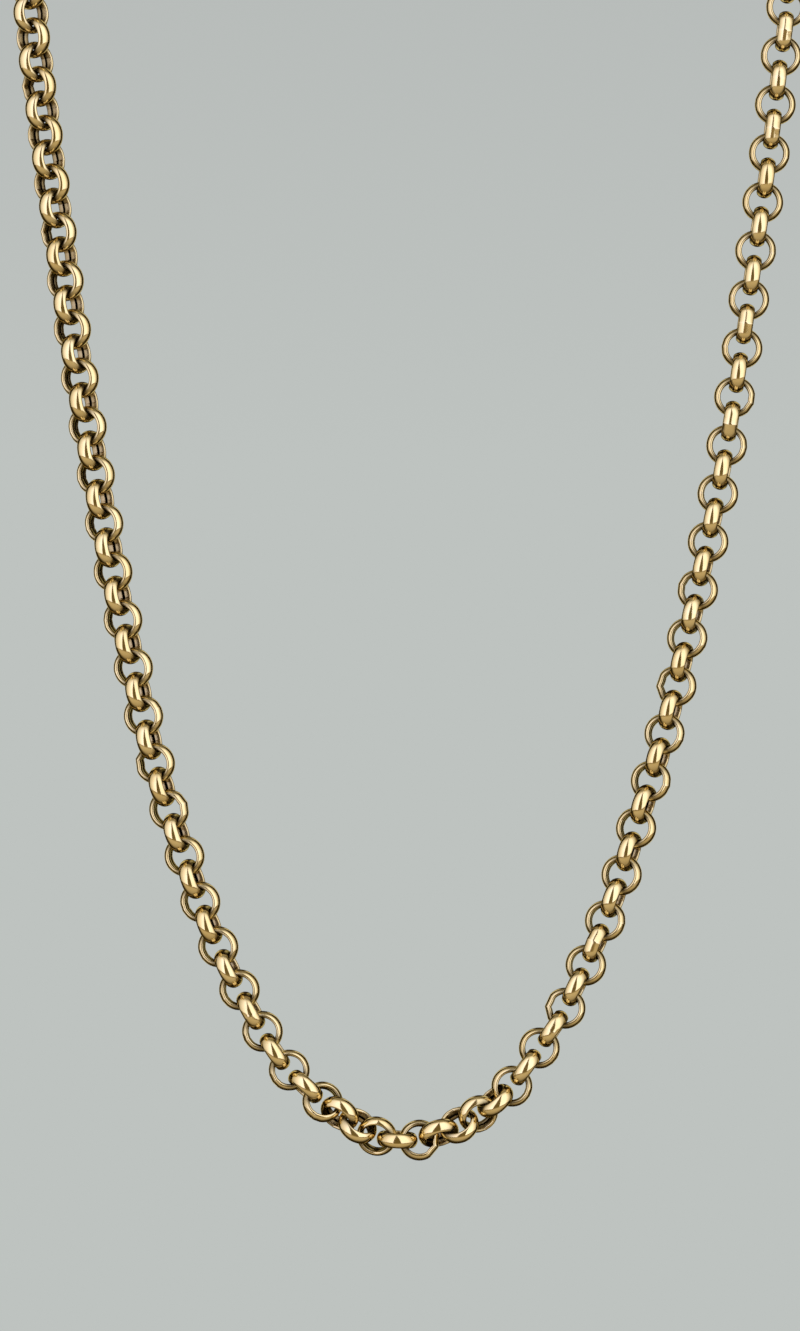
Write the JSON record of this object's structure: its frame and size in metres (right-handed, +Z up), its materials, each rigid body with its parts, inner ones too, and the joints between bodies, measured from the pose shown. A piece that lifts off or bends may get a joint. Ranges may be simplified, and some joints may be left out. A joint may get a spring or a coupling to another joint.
{
  "type": "rolo chain necklace",
  "caption": "Closed necklace of round half-round-band rolo links, hanging in a deep U with a plain arch and a bolt-ring clasp at the top.",
  "frame": {"origin": "top of the neck or bar that the loop hangs on, in the middle of the arch", "axes": "+Z up along the hanging loop, +X across it to the viewer's right, +Y through it away from the viewer"},
  "size_m": [0.1174, 0.0087, 0.2406],
  "materials": {
    "gold": "polished yellow gold with fine wear"
  },
  "bodies": {
    "root": {"left_chain": "gold", "right_chain": "gold", "clasp": "gold"}
  },
  "joints": []
}
